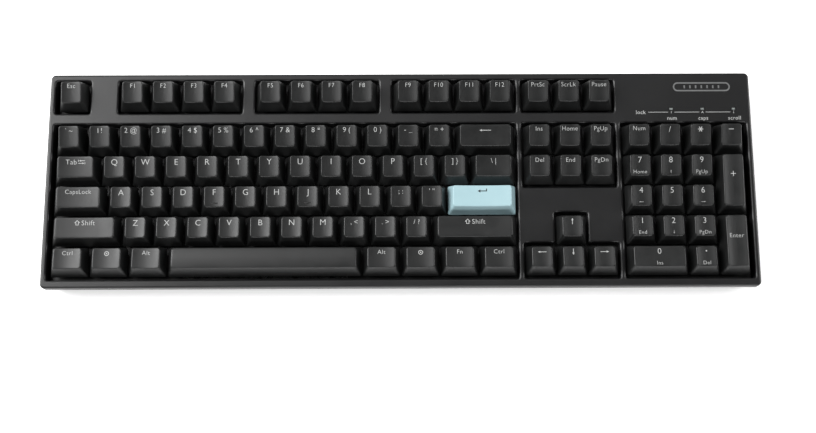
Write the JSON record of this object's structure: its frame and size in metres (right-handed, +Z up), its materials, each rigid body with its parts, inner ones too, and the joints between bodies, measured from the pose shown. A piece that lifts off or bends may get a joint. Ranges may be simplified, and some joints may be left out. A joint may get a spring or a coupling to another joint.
{
  "type": "computer keyboard",
  "caption": "Full-size mechanical computer keyboard with sculpted keycaps, a number pad, a narrow black case and flip-out feet.",
  "frame": {"origin": "middle of the case's plan, on the surface that the rubber feet stand on", "axes": "+X to the keyboard's right, along its length; +Y to its rear edge; +Z up"},
  "size_m": [0.44, 0.1378, 0.0378],
  "materials": {
    "case_plastic": "fine sparked texture",
    "keycap_black": "fine grain",
    "enter_blue": "fine grain",
    "switch_nylon": "moulded",
    "plate_steel": "satin",
    "board": "solder mask",
    "bright_steel": "plated",
    "rubber": "matt",
    "light_guide": "clear"
  },
  "bodies": {
    "case": {"top_case": "case_plastic", "bottom_case": "case_plastic", "front_left_rubber_foot": "rubber", "front_right_rubber_foot": "rubber", "rear_left_rubber_foot": "rubber", "rear_right_rubber_foot": "rubber", "case_screw": "bright_steel", "mounting_plate": "plate_steel", "circuit_board": "board", "usb_port": "bright_steel", "lock_light_bar": "light_guide", "switch_housings": "switch_nylon"},
    "left_flip_foot": {"left_flip_foot": "case_plastic"},
    "right_flip_foot": {"right_flip_foot": "case_plastic"},
    "keycap_space": {"keycap_space": "keycap_black"},
    "space_bar_wire": {"space_bar_wire": "bright_steel"},
    "keycap_enter": {"keycap_enter": "enter_blue"},
    "keycap_backspace": {"keycap_backspace": "keycap_black"},
    "keycap_esc": {"keycap_esc": "keycap_black"},
    "keycap_left_shift": {"keycap_left_shift": "keycap_black"},
    "keycap_right_shift": {"keycap_right_shift": "keycap_black"},
    "keycap_tab": {"keycap_tab": "keycap_black"},
    "keycap_caps_lock": {"keycap_caps_lock": "keycap_black"},
    "keycaps_f1_to_f4": {"keycaps_f1_to_f4": "keycap_black"},
    "keycaps_f5_to_f8": {"keycaps_f5_to_f8": "keycap_black"},
    "keycaps_f9_to_f12": {"keycaps_f9_to_f12": "keycap_black"},
    "keycaps_print_block": {"keycaps_print_block": "keycap_black"},
    "keycaps_number_row": {"keycaps_number_row": "keycap_black"},
    "keycaps_punctuation": {"keycaps_punctuation": "keycap_black"},
    "keycaps_left_modifiers": {"keycaps_left_modifiers": "keycap_black"},
    "keycaps_right_modifiers": {"keycaps_right_modifiers": "keycap_black"},
    "keycaps_navigation": {"keycaps_navigation": "keycap_black"},
    "keycaps_arrows": {"keycaps_arrows": "keycap_black"},
    "keycaps_numpad": {"keycaps_numpad": "keycap_black"},
    "keycap_q": {"keycap_q": "keycap_black"},
    "keycap_w": {"keycap_w": "keycap_black"},
    "keycap_e": {"keycap_e": "keycap_black"},
    "keycap_r": {"keycap_r": "keycap_black"},
    "keycap_t": {"keycap_t": "keycap_black"},
    "keycap_y": {"keycap_y": "keycap_black"},
    "keycap_u": {"keycap_u": "keycap_black"},
    "keycap_i": {"keycap_i": "keycap_black"},
    "keycap_o": {"keycap_o": "keycap_black"},
    "keycap_p": {"keycap_p": "keycap_black"},
    "keycap_a": {"keycap_a": "keycap_black"},
    "keycap_s": {"keycap_s": "keycap_black"},
    "keycap_d": {"keycap_d": "keycap_black"},
    "keycap_f": {"keycap_f": "keycap_black"},
    "keycap_g": {"keycap_g": "keycap_black"},
    "keycap_h": {"keycap_h": "keycap_black"},
    "keycap_j": {"keycap_j": "keycap_black"},
    "keycap_k": {"keycap_k": "keycap_black"},
    "keycap_l": {"keycap_l": "keycap_black"},
    "keycap_z": {"keycap_z": "keycap_black"},
    "keycap_x": {"keycap_x": "keycap_black"},
    "keycap_c": {"keycap_c": "keycap_black"},
    "keycap_v": {"keycap_v": "keycap_black"},
    "keycap_b": {"keycap_b": "keycap_black"},
    "keycap_n": {"keycap_n": "keycap_black"},
    "keycap_m": {"keycap_m": "keycap_black"}
  },
  "joints": [
    {"name": "left_foot_hinge", "type": "hinge", "parent": "case", "child": "left_flip_foot", "pos_m": [-0.172, 0.054, 0.0027], "axis": [1, 0, 0], "range_deg": [0, 85]},
    {"name": "right_foot_hinge", "type": "hinge", "parent": "case", "child": "right_flip_foot", "pos_m": [0.172, 0.054, 0.0027], "axis": [1, 0, 0], "range_deg": [0, 85]},
    {"name": "press_space", "type": "slide", "parent": "case", "child": "keycap_space", "axis": [0, 0.0732, -0.9973], "range_m": [0, 0.004], "stiffness_N_per_m": 100, "springref_m": -0.003},
    {"name": "space_bar_wire_turn", "type": "hinge", "parent": "case", "child": "space_bar_wire", "pos_m": [-0.08334, -0.06107, 0.01201], "axis": [-1, 0, 0], "range_deg": [0, 25]},
    {"name": "press_enter", "type": "slide", "parent": "case", "child": "keycap_enter", "axis": [0, 0.0732, -0.9973], "range_m": [0, 0.004], "stiffness_N_per_m": 100, "springref_m": -0.003},
    {"name": "press_backspace", "type": "slide", "parent": "case", "child": "keycap_backspace", "axis": [0, 0.0732, -0.9973], "range_m": [0, 0.004], "stiffness_N_per_m": 100, "springref_m": -0.003},
    {"name": "press_esc", "type": "slide", "parent": "case", "child": "keycap_esc", "axis": [0, 0.0732, -0.9973], "range_m": [0, 0.004], "stiffness_N_per_m": 100, "springref_m": -0.003},
    {"name": "press_left_shift", "type": "slide", "parent": "case", "child": "keycap_left_shift", "axis": [0, 0.0732, -0.9973], "range_m": [0, 0.004], "stiffness_N_per_m": 100, "springref_m": -0.003},
    {"name": "press_right_shift", "type": "slide", "parent": "case", "child": "keycap_right_shift", "axis": [0, 0.0732, -0.9973], "range_m": [0, 0.004], "stiffness_N_per_m": 100, "springref_m": -0.003},
    {"name": "press_tab", "type": "slide", "parent": "case", "child": "keycap_tab", "axis": [0, 0.0732, -0.9973], "range_m": [0, 0.004], "stiffness_N_per_m": 100, "springref_m": -0.003},
    {"name": "press_caps_lock", "type": "slide", "parent": "case", "child": "keycap_caps_lock", "axis": [0, 0.0732, -0.9973], "range_m": [0, 0.004], "stiffness_N_per_m": 100, "springref_m": -0.003},
    {"name": "press_f1_to_f4", "type": "slide", "parent": "case", "child": "keycaps_f1_to_f4", "axis": [0, 0.0732, -0.9973], "range_m": [0, 0.004], "stiffness_N_per_m": 400, "springref_m": -0.003},
    {"name": "press_f5_to_f8", "type": "slide", "parent": "case", "child": "keycaps_f5_to_f8", "axis": [0, 0.0732, -0.9973], "range_m": [0, 0.004], "stiffness_N_per_m": 400, "springref_m": -0.003},
    {"name": "press_f9_to_f12", "type": "slide", "parent": "case", "child": "keycaps_f9_to_f12", "axis": [0, 0.0732, -0.9973], "range_m": [0, 0.004], "stiffness_N_per_m": 400, "springref_m": -0.003},
    {"name": "press_print_block", "type": "slide", "parent": "case", "child": "keycaps_print_block", "axis": [0, 0.0732, -0.9973], "range_m": [0, 0.004], "stiffness_N_per_m": 300, "springref_m": -0.003},
    {"name": "press_number_row", "type": "slide", "parent": "case", "child": "keycaps_number_row", "axis": [0, 0.0732, -0.9973], "range_m": [0, 0.004], "stiffness_N_per_m": 1300, "springref_m": -0.003},
    {"name": "press_punctuation", "type": "slide", "parent": "case", "child": "keycaps_punctuation", "axis": [0, 0.0732, -0.9973], "range_m": [0, 0.004], "stiffness_N_per_m": 800, "springref_m": -0.003},
    {"name": "press_left_modifiers", "type": "slide", "parent": "case", "child": "keycaps_left_modifiers", "axis": [0, 0.0732, -0.9973], "range_m": [0, 0.004], "stiffness_N_per_m": 300, "springref_m": -0.003},
    {"name": "press_right_modifiers", "type": "slide", "parent": "case", "child": "keycaps_right_modifiers", "axis": [0, 0.0732, -0.9973], "range_m": [0, 0.004], "stiffness_N_per_m": 400, "springref_m": -0.003},
    {"name": "press_navigation", "type": "slide", "parent": "case", "child": "keycaps_navigation", "axis": [0, 0.0732, -0.9973], "range_m": [0, 0.004], "stiffness_N_per_m": 600, "springref_m": -0.003},
    {"name": "press_arrows", "type": "slide", "parent": "case", "child": "keycaps_arrows", "axis": [0, 0.0732, -0.9973], "range_m": [0, 0.004], "stiffness_N_per_m": 400, "springref_m": -0.003},
    {"name": "press_numpad", "type": "slide", "parent": "case", "child": "keycaps_numpad", "axis": [0, 0.0732, -0.9973], "range_m": [0, 0.004], "stiffness_N_per_m": 1700, "springref_m": -0.003},
    {"name": "press_q", "type": "slide", "parent": "case", "child": "keycap_q", "axis": [0, 0.0732, -0.9973], "range_m": [0, 0.004], "stiffness_N_per_m": 100, "springref_m": -0.003},
    {"name": "press_w", "type": "slide", "parent": "case", "child": "keycap_w", "axis": [0, 0.0732, -0.9973], "range_m": [0, 0.004], "stiffness_N_per_m": 100, "springref_m": -0.003},
    {"name": "press_e", "type": "slide", "parent": "case", "child": "keycap_e", "axis": [0, 0.0732, -0.9973], "range_m": [0, 0.004], "stiffness_N_per_m": 100, "springref_m": -0.003},
    {"name": "press_r", "type": "slide", "parent": "case", "child": "keycap_r", "axis": [0, 0.0732, -0.9973], "range_m": [0, 0.004], "stiffness_N_per_m": 100, "springref_m": -0.003},
    {"name": "press_t", "type": "slide", "parent": "case", "child": "keycap_t", "axis": [0, 0.0732, -0.9973], "range_m": [0, 0.004], "stiffness_N_per_m": 100, "springref_m": -0.003},
    {"name": "press_y", "type": "slide", "parent": "case", "child": "keycap_y", "axis": [0, 0.0732, -0.9973], "range_m": [0, 0.004], "stiffness_N_per_m": 100, "springref_m": -0.003},
    {"name": "press_u", "type": "slide", "parent": "case", "child": "keycap_u", "axis": [0, 0.0732, -0.9973], "range_m": [0, 0.004], "stiffness_N_per_m": 100, "springref_m": -0.003},
    {"name": "press_i", "type": "slide", "parent": "case", "child": "keycap_i", "axis": [0, 0.0732, -0.9973], "range_m": [0, 0.004], "stiffness_N_per_m": 100, "springref_m": -0.003},
    {"name": "press_o", "type": "slide", "parent": "case", "child": "keycap_o", "axis": [0, 0.0732, -0.9973], "range_m": [0, 0.004], "stiffness_N_per_m": 100, "springref_m": -0.003},
    {"name": "press_p", "type": "slide", "parent": "case", "child": "keycap_p", "axis": [0, 0.0732, -0.9973], "range_m": [0, 0.004], "stiffness_N_per_m": 100, "springref_m": -0.003},
    {"name": "press_a", "type": "slide", "parent": "case", "child": "keycap_a", "axis": [0, 0.0732, -0.9973], "range_m": [0, 0.004], "stiffness_N_per_m": 100, "springref_m": -0.003},
    {"name": "press_s", "type": "slide", "parent": "case", "child": "keycap_s", "axis": [0, 0.0732, -0.9973], "range_m": [0, 0.004], "stiffness_N_per_m": 100, "springref_m": -0.003},
    {"name": "press_d", "type": "slide", "parent": "case", "child": "keycap_d", "axis": [0, 0.0732, -0.9973], "range_m": [0, 0.004], "stiffness_N_per_m": 100, "springref_m": -0.003},
    {"name": "press_f", "type": "slide", "parent": "case", "child": "keycap_f", "axis": [0, 0.0732, -0.9973], "range_m": [0, 0.004], "stiffness_N_per_m": 100, "springref_m": -0.003},
    {"name": "press_g", "type": "slide", "parent": "case", "child": "keycap_g", "axis": [0, 0.0732, -0.9973], "range_m": [0, 0.004], "stiffness_N_per_m": 100, "springref_m": -0.003},
    {"name": "press_h", "type": "slide", "parent": "case", "child": "keycap_h", "axis": [0, 0.0732, -0.9973], "range_m": [0, 0.004], "stiffness_N_per_m": 100, "springref_m": -0.003},
    {"name": "press_j", "type": "slide", "parent": "case", "child": "keycap_j", "axis": [0, 0.0732, -0.9973], "range_m": [0, 0.004], "stiffness_N_per_m": 100, "springref_m": -0.003},
    {"name": "press_k", "type": "slide", "parent": "case", "child": "keycap_k", "axis": [0, 0.0732, -0.9973], "range_m": [0, 0.004], "stiffness_N_per_m": 100, "springref_m": -0.003},
    {"name": "press_l", "type": "slide", "parent": "case", "child": "keycap_l", "axis": [0, 0.0732, -0.9973], "range_m": [0, 0.004], "stiffness_N_per_m": 100, "springref_m": -0.003},
    {"name": "press_z", "type": "slide", "parent": "case", "child": "keycap_z", "axis": [0, 0.0732, -0.9973], "range_m": [0, 0.004], "stiffness_N_per_m": 100, "springref_m": -0.003},
    {"name": "press_x", "type": "slide", "parent": "case", "child": "keycap_x", "axis": [0, 0.0732, -0.9973], "range_m": [0, 0.004], "stiffness_N_per_m": 100, "springref_m": -0.003},
    {"name": "press_c", "type": "slide", "parent": "case", "child": "keycap_c", "axis": [0, 0.0732, -0.9973], "range_m": [0, 0.004], "stiffness_N_per_m": 100, "springref_m": -0.003},
    {"name": "press_v", "type": "slide", "parent": "case", "child": "keycap_v", "axis": [0, 0.0732, -0.9973], "range_m": [0, 0.004], "stiffness_N_per_m": 100, "springref_m": -0.003},
    {"name": "press_b", "type": "slide", "parent": "case", "child": "keycap_b", "axis": [0, 0.0732, -0.9973], "range_m": [0, 0.004], "stiffness_N_per_m": 100, "springref_m": -0.003},
    {"name": "press_n", "type": "slide", "parent": "case", "child": "keycap_n", "axis": [0, 0.0732, -0.9973], "range_m": [0, 0.004], "stiffness_N_per_m": 100, "springref_m": -0.003},
    {"name": "press_m", "type": "slide", "parent": "case", "child": "keycap_m", "axis": [0, 0.0732, -0.9973], "range_m": [0, 0.004], "stiffness_N_per_m": 100, "springref_m": -0.003}
  ],
  "couplings": [
    {"joint": "space_bar_wire_turn", "follows": "press_space", "rad_per_m": 107}
  ]
}
